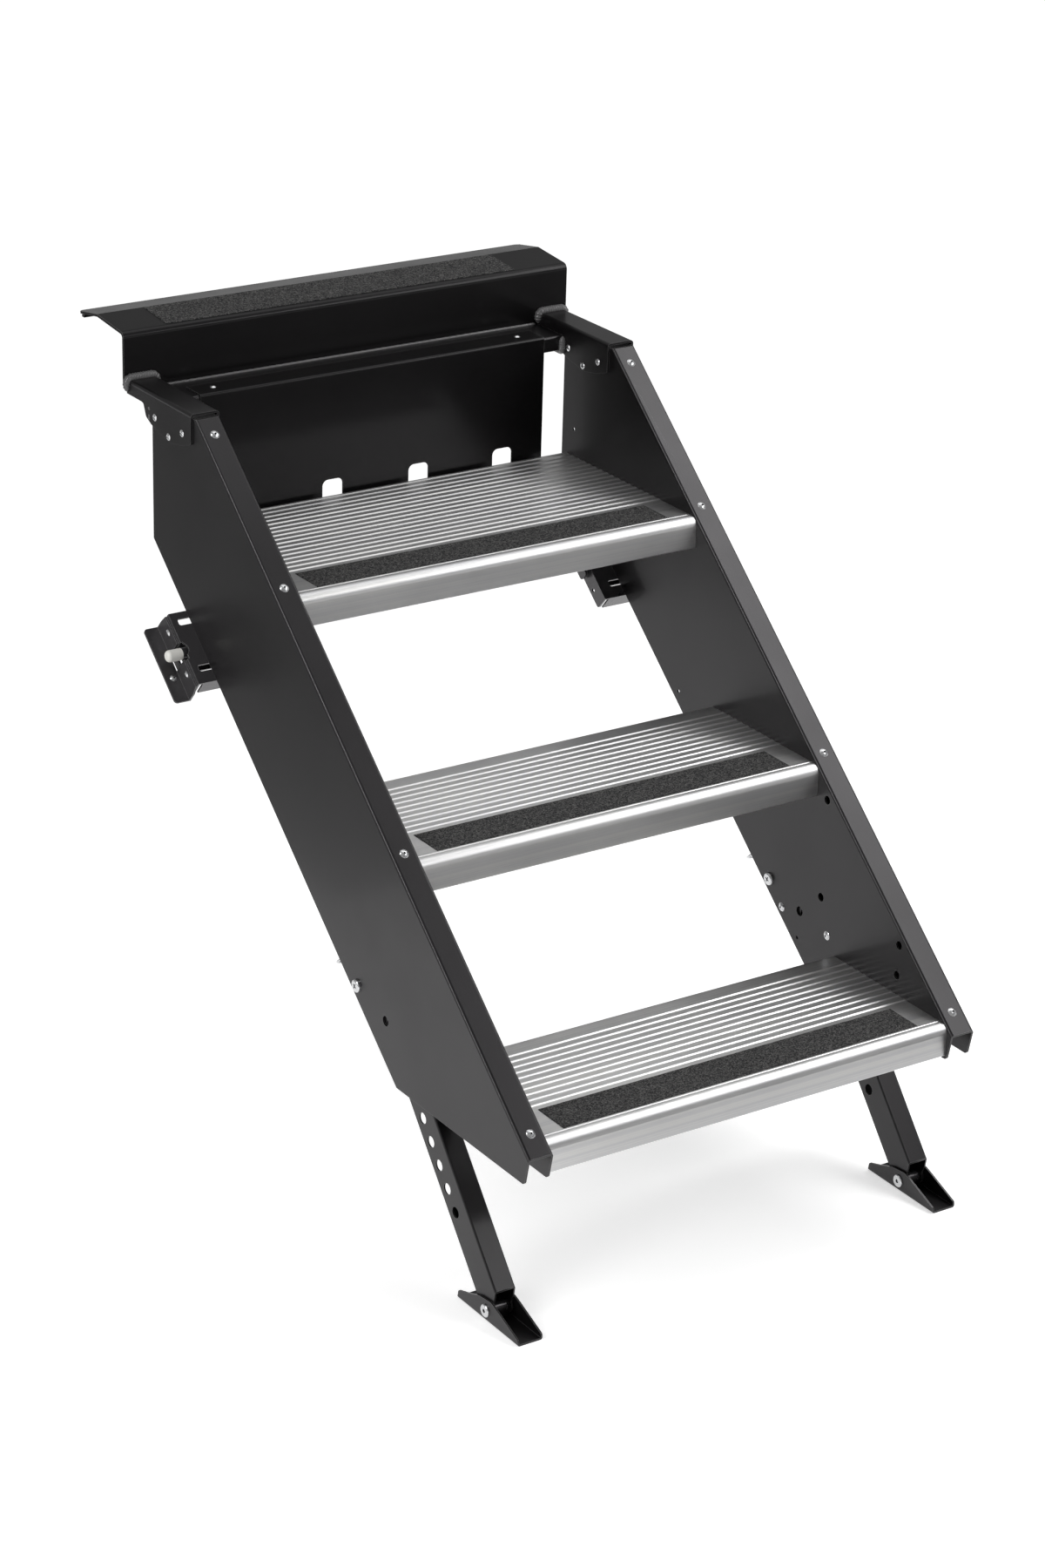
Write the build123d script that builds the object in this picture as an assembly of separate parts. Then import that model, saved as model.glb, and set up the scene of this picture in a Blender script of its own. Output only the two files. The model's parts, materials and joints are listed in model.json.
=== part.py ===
"""Folding entry step for a camper: three aluminium treads between two sloping steel rails.

The step hangs from a hinge screwed to the vehicle floor and swings up through the doorway.
Frame: X to the right across the doorway, Y into the vehicle, Z up, in millimetres.
The origin is the middle of the fixed hinge leaf's underside, on the vehicle floor.
"""
from build123d import *
from math import cos, sin, tan, atan2, radians
import os

os.makedirs("parts", exist_ok=True)

# Rails: two channels, open at the back, that slope down and forward
overall_width = 558.8
rail_width = 29.4
rail_sheet = 2.0
rail_bend = 3.2
rail_depth = 182.7
rail_slope = radians(40.67)
flange_y = -240.0
flange_z = -57.0
rail_top_z = -43.2
rail_rear_y = -129.2
flange_foot_z = -610.6
rail_foot_z = -641.0
rail_tip_y = -878.0
rail_tip_radius = 5.0

# Treads: aluminium extrusions between the inner webs
rise = 206.5
top_tread_y = -395.4
top_tread_z = -187.9
nose_radius = 10.0
skirt_height = 36.0
tread_wall = 3.0
tread_side_gap = 0.15
top_tread_depth = 257.0
lower_tread_depth = 195.0
rear_lip_height = 22.0
rib_pitch = 11.38
rib_width = 6.4
rib_height = 0.9
top_rib_margin = 2.0
lower_rib_margin = 12.0
rib_start = 72.5
grip_start = 16.0
grip_width = 46.0
grip_end_inset = 27.5
grip_thickness = 0.8
nose_bead_start = 12.6
nose_bead_width = 1.6
skirt_hem = 8.0
skirt_corner = 1.2

# Threshold plate, bent from one sheet, that laps over the door sill
threshold_overhang = 5.8
threshold_sheet = 3.0
threshold_bend = 7.0
threshold_face_y = -77.0
threshold_foot_z = -53.1
threshold_top_z = 12.9
threshold_ridge_z = 18.5
lip_start_y = -17.4
lip_rear_y = 25.9
lip_rear_z = 11.3
lip_corner = 4.0
face_corner = 11.0
threshold_grip_inset = 61.4
threshold_grip_edge = 6.8
threshold_grip_width = 52.0

# Floor hinge under the lip
hinge_length = 460.0
hinge_knuckles = 9
hinge_axis_y = 30.4
knuckle_radius = 3.5
hinge_pin_radius = 1.75
hinge_clearance = 0.05
knuckle_gap = 0.4
fixed_leaf_thickness = 3.1
leaf_gap = 0.3
moving_leaf_top_z = 6.6
leaf_rebate = 1.2
leaf_front_y = -19.0
leaf_step = 12.0
packing_rear_y = 17.9
packing_end_front_y = 12.9
screw_pitch = 80.0
screw_hole_radius = 2.6
screw_sink_radius = 4.6
pin_head = 1.6

# Arms: inverted channels that carry the rails from the threshold plate
arm_sheet = 2.4
arm_bend = 4.0
arm_side_gap = 0.1
arm_front_y = -217.8
arm_top_gap = 2.4
arm_drop = 31.0
arm_neck_drop = 13.5
arm_neck_start = 33.0
arm_belly = 10.5
arm_neck_lead = 4.0
weld_leg = 6.5
weld_outer_leg = 2.6
weld_chamfer = 1.6
bar_weld_leg = 5.0

# Crossbar and kick panel
crossbar_height = 18.0
crossbar_wall = 2.0
crossbar_corner = 3.0
crossbar_front_y = -128.8
crossbar_top_z = -52.0
panel_sheet = 1.5
panel_side_gap = 21.5
panel_foot_z = -226.0
panel_top_depth = 32.0
panel_bend = 3.0
slot_width = 26.0
slot_height = 36.0
slot_top_z = -172.6
slot_corner = 7.0
slot_pitch = 111.6
slot_count = 4
panel_rivet_inset = 25.1
panel_rivet_setback = 17.3

# Rivets and screws
rivet_radius = 2.4
rivet_head_radius = 5.0
rivet_head_height = 1.9
small_rivet_head = 3.9
small_rivet_height = 1.5
small_rivet_radius = 1.8
screw_head_radius = 7.2
screw_head_height = 3.6
screw_radius = 3.0
screw_slot_length = 6.4
screw_slot_width = 1.3
rivet_grip = 1.0

# Legs: rectangular tubes that slide in the rail channels
leg_depth = 38.1
leg_side_gap = 0.4
leg_wall = 1.6
leg_corner = 2.0
leg_angle = radians(39.75)
leg_back_y = -657.1
leg_back_z = -642.0
leg_inside_length = 208.0
leg_pin_across = 11.5
leg_front_cut = 12.3
leg_front_cut_drop = 8.0
leg_front_cut_depth = 9.3
leg_back_cut = 16.0
leg_cheek_radius = 9.0
leg_hole_pitch = 25.4
leg_hole_radius = 6.2
leg_hole_across = 14.5
leg_first_hole = 29.1
leg_hole_count = 11
leg_holes_below = 5
lock_hole_count = 7
leg_slot_width = 15.0
leg_slot_start = 19.5
leg_slot_end = 112.5

# Feet: pressed shoes on a cross pin
ground_z = -826.2
foot_pin_height = 11.9
foot_width = 30.0
foot_sheet = 2.0
foot_pin_radius = 4.0
foot_pin_clearance = 0.08
foot_pin_head_radius = 7.0
foot_pin_head_height = 2.0
foot_pin_hollow = 2.2
foot_rear = 52.9
foot_front = 59.8
foot_tip_height = 10.0
foot_toe_height = 6.5
foot_heel_height = 15.5
foot_heel_reach = 33.0
foot_ear_height = 23.2
foot_ear_reach = 12.0
foot_crown_height = 25.5
foot_crown_reach = 9.0
foot_brow_height = 22.0
foot_brow_reach = 19.0
foot_nut_radius = 5.6
foot_nut_thickness = 3.2
foot_nut_gap = 0.3
spacer_radius = 6.2

# Leg guides and their spring plungers, inside the rail channels
guide_gap = 0.4
guide_sheet = 2.0
guide_low_along = 42.0
guide_high_along = 180.0
guide_back_across = -30.0
guide_low_rise = 12.0
guide_high_rise = 30.0
guide_high_step = 6.0
guide_side_gap = 0.1
plunger_along = 162.0
barrel_radius = 6.5
barrel_length = 16.0
plunger_radius = 3.5
plunger_clearance = 0.08
plunger_tip_gap = 0.4
plunger_tail = 24.5
plunger_eye_inset = 3.0
plunger_stop_radius = 5.0
plunger_stop_length = 3.0
plunger_stop_gap = 0.3
ring_radius = 11.0
ring_wire = 1.2
ring_eye_radius = 1.9

# Door latches on the backs of the rails
latch_high_along = 93.2
latch_low_along = 181.2
latch_sheet = 2.0
latch_outboard = 21.7
latch_inboard = 57.5
latch_outer_depth = 31.2
latch_inner_depth = 20.6
latch_foot_depth = 21.0
latch_corner = 4.0
latch_foot_inset = 6.0
latch_slot_height = 7.6
latch_slot_corner = 2.4
latch_slot_alongs = (105.4, 163.2)
latch_slot_start = 14.2
latch_slot_length = 57.8
latch_tab_high = 112.0
latch_tab_low = 157.0
latch_tab_gap = 4.0
catch_high_along = 91.5
catch_low_along = 184.0
catch_start_depth = 5.0
catch_reach = 19.2
catch_corner = 4.0
latch_rivet_alongs = (108.8, 160.9)
latch_rivet_depth = 13.6
wing_rivet_along = 154.6
wing_rivet_reach = 9.0
bolt_along = 136.8
bolt_depth = 11.6
bolt_radius = 6.6
bolt_clearance = 0.08
bolt_window_above = 8.0
bolt_window_below = 12.5
bolt_window_depth = 20.5
bolt_notch_radius = 8.2
bolt_notch_overhang = 2.0
bolt_reach = 17.0
bolt_seat = 1.0
bolt_nose_radius = 4.5
carrier_length = 13.0
bolt_guide_inset = 10.0
bolt_guide_reach = 9.0
catch_window_above = 9.5
catch_window_below = 10.5
latch_spare_hole = 2.6
latch_cut_reach = 30.0
stem_radius = 3.0
pull_length = 20.0
pull_width = 14.0
pull_thickness = 3.0
pull_corner = 4.0
pull_gap = 2.6
spring_wire = 0.6
spring_radius = 4.4
spring_turns = 11

# Worked-out places
half_width = overall_width / 2
threshold_half = half_width + threshold_overhang
inner_web_x = half_width - rail_width
channel_x = half_width - rail_width / 2
hinge_axis_z = knuckle_radius
run = rise / tan(rail_slope)
slope_down = (-cos(rail_slope), -sin(rail_slope))
slope_behind = (sin(rail_slope), -cos(rail_slope))
leg_down = (-sin(leg_angle), -cos(leg_angle))
leg_front = (-cos(leg_angle), sin(leg_angle))
arm_inner_z = rail_top_z + arm_top_gap
arm_top_z = arm_inner_z + arm_sheet
arm_width = rail_width + 2 * (arm_sheet + arm_side_gap)
arm_inside_x = channel_x - arm_width / 2
panel_half = arm_inside_x - bar_weld_leg - panel_side_gap
panel_rivet_x = panel_half - panel_rivet_inset
panel_rivet_y = crossbar_front_y + panel_rivet_setback
leg_pin_along = (leg_back_z - ground_z - foot_pin_height + leg_pin_across * sin(leg_angle)) / cos(leg_angle)
leg_front_end = leg_pin_along - leg_front_cut


def flange_at(y):
    """Height of the rail's outer flange face at a given y."""
    return flange_z + (y - flange_y) * tan(rail_slope)


def outline(corners):
    """Flat face from (u, v) or (u, v, radius) corners."""
    points = [(corner[0], corner[1]) for corner in corners]
    face = make_face(Polyline(*points, close=True))
    radii = {(corner[0], corner[1]): corner[2] for corner in corners if len(corner) > 2 and corner[2] > 0}
    for radius in sorted(set(radii.values())):
        spots = [Vector(*point) for point, value in radii.items() if value == radius]
        picked = [v for v in face.vertices()
                  if any((Vector(v.X, v.Y) - spot).length < 1e-4 for spot in spots)]
        face = fillet(picked, radius)
    return face


def prism(corners, low_x, high_x):
    """Extrusion along X of an outline drawn in Y and Z."""
    return extrude(Plane.YZ.offset(low_x) * outline(corners), high_x - low_x)


def box_between(low, high):
    """Axis-aligned block from its two far corners."""
    size = [b - a for a, b in zip(low, high)]
    return Pos(*[(a + b) / 2 for a, b in zip(low, high)]) * Box(*size)


def rod(start, end, radius):
    """Round bar between two points."""
    along = Vector(*end) - Vector(*start)
    plane = Plane(origin=start, z_dir=along)
    return extrude(plane * Circle(radius), along.length)


def dome_head(seat, direction, radius, height):
    """Low domed head standing on a face."""
    plane = Plane(origin=seat, z_dir=direction)
    sphere_radius = (radius ** 2 + height ** 2) / (2 * height)
    halfway = atan2(radius, sphere_radius - height) / 2
    middle = (sphere_radius * sin(halfway), height - sphere_radius + sphere_radius * cos(halfway))
    arc = ThreePointArc((radius, 0), middle, (0, height))
    face = make_face([arc, Line((0, height), (0, 0)), Line((0, 0), (radius, 0))])
    return plane.location * revolve(Plane.XZ * face, Axis.Z)


def blind_rivet(seat, direction, radius, height, shank, length):
    """Domed rivet with the hollow its mandrel leaves, on a face, with its shank below."""
    way = Vector(*direction).normalized()
    head = dome_head(seat, direction, radius, height)
    foot = Vector(*seat) - way * length
    body = head + rod(tuple(foot), tuple(Vector(*seat) + way * 0.2), shank)
    hollow_start = Vector(*seat) + way * (height * 0.35)
    hollow = rod(tuple(hollow_start), tuple(Vector(*seat) + way * (height + 1)), shank * 0.5)
    return body - hollow


def mirrored(shape):
    """The same piece on the other side of the step."""
    return mirror(shape, about=Plane.YZ)


def grouped(pieces):
    """Several separate solids as one node."""
    return Compound(children=[solid for piece in pieces for solid in piece.solids()])


def on_leg(along, across):
    """(y, z) of a point in the leg's own directions: down the tube and towards its front."""
    return (leg_back_y + along * leg_down[0] + across * leg_front[0],
            leg_back_z + along * leg_down[1] + across * leg_front[1])


latch_y = rail_rear_y
latch_z = flange_at(rail_rear_y) - rail_depth / cos(rail_slope)


def on_latch(along, depth):
    """(y, z) of a point measured down the rail's back edge and out behind it."""
    return (latch_y + along * slope_down[0] + depth * slope_behind[0],
            latch_z + along * slope_down[1] + depth * slope_behind[1])


# Rails

def rail_outline():
    """Side view of a rail web, clockwise from its top front corner."""
    back_foot_y = rail_rear_y + (rail_foot_z - latch_z) / tan(rail_slope)
    top_front_y = flange_y + (rail_top_z - flange_z) / tan(rail_slope)
    foot_front_y = flange_y + (flange_foot_z - flange_z) / tan(rail_slope)
    return [(top_front_y, rail_top_z), (rail_rear_y, rail_top_z), (rail_rear_y, latch_z),
            (back_foot_y, rail_foot_z), (rail_tip_y, rail_foot_z, rail_tip_radius),
            (foot_front_y, flange_foot_z)]


web_open_holes = [(-616.5, -574.5, 5.6)]
inner_web_holes = [(-652.0, -543.4, 5.0), (-614.9, -607.1, 2.2), (-788.5, -544.8, 5.0), (-787.9, -579.8, 5.0),
                   (-653.0, -428.7, 5.0), (-375.5, -400.0, 2.2), (-151.9, -156.8, 2.2)]
guide_screw_spot = (-560.3, -557.6)
web_rivet_spots = [(-584.4, -582.3), (-666.2, -583.7)]
flange_rivet_drops = (-0.6, 143.8, 384.0, 625.0)


def flange_rivet_seat(drop):
    """Seat of a flange rivet, given its distance in front of the top one."""
    y = flange_y - drop
    return (channel_x, y, flange_at(y))


tread_noses = [(top_tread_y - step * run, top_tread_z - step * rise) for step in range(3)]
cleat_rivet_setbacks = (45.0, 100.0)
cleat_leg = 20.0
cleat_sheet = 2.5
cleat_setbacks = (24.0, 122.0)
cleat_rivet_drop = tread_wall + cleat_leg * 0.6


def make_rail():
    """The right rail, with every hole its fasteners need."""
    long = 1.5 * (flange_z - rail_foot_z) / sin(rail_slope)
    start = (flange_y - slope_down[0] * long / 3, flange_z - slope_down[1] * long / 3)
    section_plane = Plane(origin=(channel_x, *start), x_dir=(1, 0, 0), z_dir=(0, *slope_down))
    toward_back = section_plane.y_dir.Y * slope_behind[0] + section_plane.y_dir.Z * slope_behind[1]
    depth = 2 * rail_depth
    half = rail_width / 2
    inner = half - rail_sheet
    outer_face = outline([(-half, 0, rail_bend), (half, 0, rail_bend), (half, toward_back * depth),
                          (-half, toward_back * depth)])
    inner_face = outline([(-inner, toward_back * rail_sheet, rail_bend - rail_sheet),
                          (inner, toward_back * rail_sheet, rail_bend - rail_sheet),
                          (inner, toward_back * (depth + 5)), (-inner, toward_back * (depth + 5))])
    channel = extrude(section_plane * (outer_face - inner_face), long)
    rail = channel & prism(rail_outline(), channel_x - half - 1, channel_x + half + 1)
    through = half_width + 5
    for y, z, radius in web_open_holes:
        rail -= rod((inner_web_x - 5, y, z), (through, y, z), radius)
    for y, z, radius in inner_web_holes:
        rail -= rod((inner_web_x - 5, y, z), (channel_x, y, z), radius)
    rail -= rod((inner_web_x - 5, *guide_screw_spot), (through, *guide_screw_spot), screw_radius)
    for y, z in web_rivet_spots:
        rail -= rod((inner_web_x - 5, y, z), (channel_x, y, z), rivet_radius)
    for drop in flange_rivet_drops:
        seat = Vector(*flange_rivet_seat(drop))
        inward = Vector(0, *slope_behind)
        rail -= rod(tuple(seat - inward * 5), tuple(seat + inward * 8), rivet_radius)
    for y, z in arm_rivet_spots:
        rail -= rod((arm_inside_x - 5, y, z), (through, y, z), small_rivet_radius)
    for nose_y, nose_z in tread_noses:
        for setback in cleat_rivet_setbacks:
            spot = (nose_y + setback, nose_z - cleat_rivet_drop)
            rail -= rod((inner_web_x - 5, *spot), (channel_x, *spot), small_rivet_radius)
    return rail


# Arms

arm_rivet_spots = [(-139.0, -64.0), (-169.0, -77.0), (-198.5, -64.5)]


def make_arm():
    """The right arm: an inverted channel over the rail's top, out to the threshold plate."""
    low = arm_top_z - arm_drop - arm_sheet
    neck = arm_top_z - arm_neck_drop - arm_sheet
    neck_y = threshold_face_y - arm_neck_start
    span = neck_y - arm_front_y
    shape = [(0.0, 0.0, 3.0), (0.2, -0.65, 6.0), (0.4, -1.0, 8.0), (0.64, -0.62, 6.0), (0.8, -0.2, 4.0),
             (0.91, 0.33, 5.0)]
    low_edge = [(arm_front_y + along * span, low + lift * arm_belly, corner) for along, lift, corner in shape]
    low_edge += [(neck_y - arm_neck_lead, neck - 1, 3.0), (neck_y, neck), (threshold_face_y, neck)]
    side = low_edge + [(threshold_face_y, arm_top_z), (arm_front_y, arm_top_z)]
    half = arm_width / 2
    block = prism(side, channel_x - half, channel_x + half)
    section = Plane(origin=(channel_x, arm_front_y - 1, arm_top_z), x_dir=(1, 0, 0), z_dir=(0, 1, 0))
    down = section.y_dir.Z * -1
    tall = 80.0
    length = threshold_face_y - arm_front_y + 2
    outer = outline([(-half, 0, arm_bend), (half, 0, arm_bend), (half, down * tall), (-half, down * tall)])
    inner_half = half - arm_sheet
    inner = outline([(-inner_half, down * arm_sheet, arm_bend - arm_sheet),
                     (inner_half, down * arm_sheet, arm_bend - arm_sheet),
                     (inner_half, down * (tall + 5)), (-inner_half, down * (tall + 5))])
    arm = extrude(section * (outer - inner), length) & block
    for y, z in arm_rivet_spots:
        arm -= rod((arm_inside_x - 5, y, z), (half_width + 10, y, z), small_rivet_radius)
    return arm


def make_arm_weld():
    """Fillet weld where the right arm's end meets the threshold plate, over its top and sides."""
    half = arm_width / 2
    plane = Plane(origin=(channel_x, threshold_face_y, arm_top_z), x_dir=(1, 0, 0), z_dir=(0, -1, 0))
    up = plane.y_dir.Z
    foot = (crossbar_top_z - arm_top_z) * up
    outer_foot = (threshold_foot_z + face_corner - weld_outer_leg - arm_top_z) * up
    inside, outside = -half - weld_leg, half + weld_outer_leg
    outer = outline([(inside, foot), (inside, weld_leg * up, arm_bend + weld_leg - 1),
                     (outside, weld_leg * up, arm_bend + weld_outer_leg), (outside, outer_foot),
                     (0, outer_foot), (0, foot)])
    inner = outline([(-half, foot * 1.2), (-half, 0, arm_bend), (half, 0, arm_bend), (half, foot * 1.2)])
    band = extrude(plane * (outer - inner), weld_leg)
    front = band.faces().sort_by(Axis.Y)[0]
    rim = [e for e in front.edges() if e.center().X < inside + channel_x + weld_chamfer
           or e.center().X > outside + channel_x - weld_chamfer or e.center().Z > arm_top_z + weld_outer_leg]
    return chamfer(rim, weld_chamfer)


def make_bar_weld():
    """Short weld down the right arm's inner wall, at the crossbar's front corner."""
    front = crossbar_front_y - bar_weld_leg
    foot = crossbar_top_z - crossbar_height
    side = [(front, foot), (crossbar_front_y, foot), (crossbar_front_y, crossbar_top_z),
            (front, crossbar_top_z)]
    return prism(side, arm_inside_x - bar_weld_leg, arm_inside_x)


# Threshold plate and hinge

def threshold_line():
    """Outer profile of the threshold plate: foot, front bend, ridge and the lip's rear edge."""
    return [(threshold_face_y, threshold_foot_z), (threshold_face_y, threshold_top_z),
            (lip_start_y, threshold_ridge_z), (lip_rear_y, lip_rear_z)]


def inside_line(points, sheet):
    """The same profile on the sheet's other face."""
    normals = []
    for (y0, z0), (y1, z1) in zip(points, points[1:]):
        length = ((y1 - y0) ** 2 + (z1 - z0) ** 2) ** 0.5
        normals.append(((z1 - z0) / length, (y0 - y1) / length))
    joints = [(normals[0], 1.0)]
    for first, second in zip(normals, normals[1:]):
        total = (first[0] + second[0], first[1] + second[1])
        joints.append((total, 1 + first[0] * second[0] + first[1] * second[1]))
    joints.append((normals[-1], 1.0))
    return [(y + sheet * way[0] / share, z + sheet * way[1] / share)
            for (y, z), (way, share) in zip(points, joints)]


def make_threshold():
    """Plate over the sill: front face, a top that falls to the front and a lip that falls to the rear."""
    outside = threshold_line()
    inside = inside_line(outside, threshold_sheet)
    outside[1] = (*outside[1], threshold_bend)
    inside[1] = (*inside[1], threshold_bend - threshold_sheet)
    plate = prism(outside + inside[::-1], -threshold_half, threshold_half)
    face_edges = [e for e in plate.edges() if abs(e.length - threshold_sheet) < 0.01
                  and e.center().Z < threshold_foot_z + 0.1]
    plate = fillet(face_edges, face_corner)
    lip_edges = [e for e in plate.edges() if abs(e.length - threshold_sheet) < 0.01
                 and e.center().Y > lip_rear_y - 2]
    return chamfer(lip_edges, lip_corner)


def make_threshold_grip():
    """Grit strip on the threshold plate's top, between the front bend and the ridge."""
    front, ridge = threshold_line()[1:3]
    length = ((ridge[0] - front[0]) ** 2 + (ridge[1] - front[1]) ** 2) ** 0.5
    way = ((ridge[0] - front[0]) / length, (ridge[1] - front[1]) / length)
    ends = [threshold_grip_edge, threshold_grip_edge + threshold_grip_width]
    low = [(front[0] + way[0] * end, front[1] + way[1] * end) for end in ends]
    high = [(y - way[1] * grip_thickness, z + way[0] * grip_thickness) for y, z in low]
    reach = threshold_half - threshold_grip_inset
    return prism(low + high[::-1], -reach, reach)


def make_lip_packing():
    """Packing between the lip and the moving leaf, with narrow ends that reach the plate's sides."""
    under = inside_line(threshold_line(), threshold_sheet)
    joint, rear = under[2:]
    slope = (rear[1] - joint[1]) / (rear[0] - joint[0])
    rise_forward = (joint[1] - under[1][1]) / (joint[0] - under[1][0])
    rear_top = (packing_rear_y, joint[1] + (packing_rear_y - joint[0]) * slope)
    end_top = (packing_end_front_y, joint[1] + (packing_end_front_y - joint[0]) * slope)
    front_top = (leaf_front_y, joint[1] + (leaf_front_y - joint[0]) * rise_forward)
    rear_foot = (packing_rear_y, moving_leaf_top_z)
    block = [(leaf_front_y, moving_leaf_top_z), rear_foot, rear_top, joint, front_top]
    ends = [(packing_end_front_y, moving_leaf_top_z), rear_foot, rear_top, end_top]
    return (prism(block, -hinge_length / 2, hinge_length / 2)
            + prism(ends, -threshold_half, threshold_half))


def knuckle_spans(moving):
    """X spans of the hinge knuckles that belong to one leaf."""
    pitch = hinge_length / hinge_knuckles
    spans = []
    for index in range(hinge_knuckles):
        if (index % 2 == 1) == moving:
            low = -hinge_length / 2 + index * pitch
            spans.append((low + knuckle_gap / 2, low + pitch - knuckle_gap / 2))
    return spans


def hinge_leaf(plate_corners, web_low, web_high, moving):
    """Leaf plate with its share of the knuckles, joined to each by a short web."""
    leaf = prism(plate_corners, -hinge_length / 2, hinge_length / 2)
    web_start = max(corner[0] for corner in plate_corners)
    for low, high in knuckle_spans(moving):
        leaf += rod((low, hinge_axis_y, hinge_axis_z), (high, hinge_axis_y, hinge_axis_z), knuckle_radius)
        leaf += box_between((low, web_start - 1, web_low), (high, hinge_axis_y, web_high))
    reach = hinge_length / 2 + 1
    return leaf - rod((-reach, hinge_axis_y, hinge_axis_z), (reach, hinge_axis_y, hinge_axis_z),
                      hinge_pin_radius + hinge_clearance)


def screw_places():
    """X of each floor screw."""
    return [(index - 2.5) * screw_pitch for index in range(6)]


leaf_end_y = hinge_axis_y - knuckle_radius - knuckle_gap


def make_floor_leaf():
    """Fixed leaf, screwed to the vehicle floor through countersunk holes."""
    corners = [(leaf_front_y, 0), (leaf_end_y, 0), (leaf_end_y, fixed_leaf_thickness),
               (leaf_front_y, fixed_leaf_thickness)]
    leaf = hinge_leaf(corners, 0, fixed_leaf_thickness, False)
    sink_depth = screw_sink_radius - screw_hole_radius
    for x in screw_places():
        leaf -= rod((x, 0, -1), (x, 0, fixed_leaf_thickness + 1), screw_hole_radius)
        sink = Cone(screw_hole_radius, screw_sink_radius, sink_depth)
        leaf -= Pos(x, 0, fixed_leaf_thickness - sink_depth / 2) * sink
    return leaf


def make_moving_leaf():
    """Leaf under the lip, stepped down where the lip's rear edge is lowest."""
    low = fixed_leaf_thickness + leaf_gap
    high = moving_leaf_top_z - leaf_rebate
    step_y = leaf_end_y - leaf_step
    corners = [(leaf_front_y, low), (leaf_end_y, low), (leaf_end_y, high), (step_y, high),
               (step_y, moving_leaf_top_z), (leaf_front_y, moving_leaf_top_z)]
    return hinge_leaf(corners, low, high, True)


def make_hinge_pin():
    """Hinge pin with a head at each end."""
    end = hinge_length / 2 + 0.3
    pin = rod((-end, hinge_axis_y, hinge_axis_z), (end, hinge_axis_y, hinge_axis_z), hinge_pin_radius)
    for side in (-1, 1):
        pin += rod((side * end, hinge_axis_y, hinge_axis_z),
                   (side * (end + pin_head), hinge_axis_y, hinge_axis_z), hinge_pin_radius + 1)
    return pin


# Crossbar and kick panel

def make_crossbar():
    """Rectangular tube between the arms."""
    rear = threshold_face_y
    foot = crossbar_top_z - crossbar_height
    round_out, wall = crossbar_corner, crossbar_wall
    round_in = round_out - wall
    tube = prism([(crossbar_front_y, foot, round_out), (rear, foot, round_out),
                  (rear, crossbar_top_z, round_out), (crossbar_front_y, crossbar_top_z, round_out)],
                 -arm_inside_x, arm_inside_x)
    tube -= prism([(crossbar_front_y + wall, foot + wall, round_in), (rear - wall, foot + wall, round_in),
                   (rear - wall, crossbar_top_z - wall, round_in),
                   (crossbar_front_y + wall, crossbar_top_z - wall, round_in)],
                  -arm_inside_x - 1, arm_inside_x + 1)
    for side in (-1, 1):
        spot = (side * panel_rivet_x, panel_rivet_y)
        tube -= rod((*spot, crossbar_top_z - wall - 1), (*spot, crossbar_top_z + 1), small_rivet_radius)
    return tube


def make_kick_panel():
    """Sheet folded over the crossbar, with a row of hand slots above the top tread."""
    back = crossbar_front_y
    front = back - panel_sheet
    top = crossbar_top_z + panel_sheet
    side = [(front, panel_foot_z), (front, top, panel_bend), (front + panel_top_depth, top),
            (front + panel_top_depth, crossbar_top_z), (back, crossbar_top_z, panel_bend - panel_sheet),
            (back, panel_foot_z)]
    panel = prism(side, -panel_half, panel_half)
    for index in range(slot_count):
        x = (index - (slot_count - 1) / 2) * slot_pitch
        plane = Plane(origin=(x, front - 1, slot_top_z - slot_height / 2), x_dir=(1, 0, 0), z_dir=(0, 1, 0))
        panel -= extrude(plane * RectangleRounded(slot_width, slot_height, slot_corner), panel_sheet + 2)
    for side in (-1, 1):
        spot = (side * panel_rivet_x, panel_rivet_y)
        panel -= rod((*spot, crossbar_top_z - 1), (*spot, top + 1), small_rivet_radius)
    return panel


# Treads

def make_tread(nose_y, nose_z, depth, rib_margin):
    """Ribbed tread extrusion with a rolled nose, a front skirt and a rear lip."""
    wall = tread_wall
    rear = nose_y + depth
    inner_nose = nose_radius - wall
    top = nose_z - rib_height
    side = [(nose_y, nose_z - skirt_height, skirt_corner), (nose_y, top, nose_radius), (rear, top),
            (rear, top - rear_lip_height), (rear - wall, top - rear_lip_height), (rear - wall, top - wall),
            (nose_y + wall, top - wall, inner_nose), (nose_y + wall, nose_z - skirt_height + wall),
            (nose_y + wall + skirt_hem, nose_z - skirt_height + wall),
            (nose_y + wall + skirt_hem, nose_z - skirt_height)]
    reach = inner_web_x - tread_side_gap
    tread = prism(side, -reach, reach)
    bead = nose_y + nose_bead_start
    tread += prism([(bead, top - 0.5), (bead + nose_bead_width, top - 0.5), (bead + nose_bead_width, top),
                    (bead + nose_bead_width / 2, top + rib_height / 2), (bead, top)], -reach, reach)
    rib_count = 1 + int((depth - rib_start - rib_margin) / rib_pitch)
    for index in range(rib_count):
        y = nose_y + rib_start + index * rib_pitch
        half = rib_width / 2
        rib = [(y - half, top - 0.5), (y + half, top - 0.5), (y + half, top), (y + half * 0.45, nose_z),
               (y - half * 0.45, nose_z), (y - half, top)]
        tread += prism(rib, -reach, reach)
    return tread


def make_grip(nose_y, nose_z):
    """Grit strip stuck on the flat front of a tread."""
    reach = inner_web_x - grip_end_inset
    top = nose_z - rib_height
    return box_between((-reach, nose_y + grip_start, top), (reach, nose_y + grip_start + grip_width,
                                                            top + grip_thickness))


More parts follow.
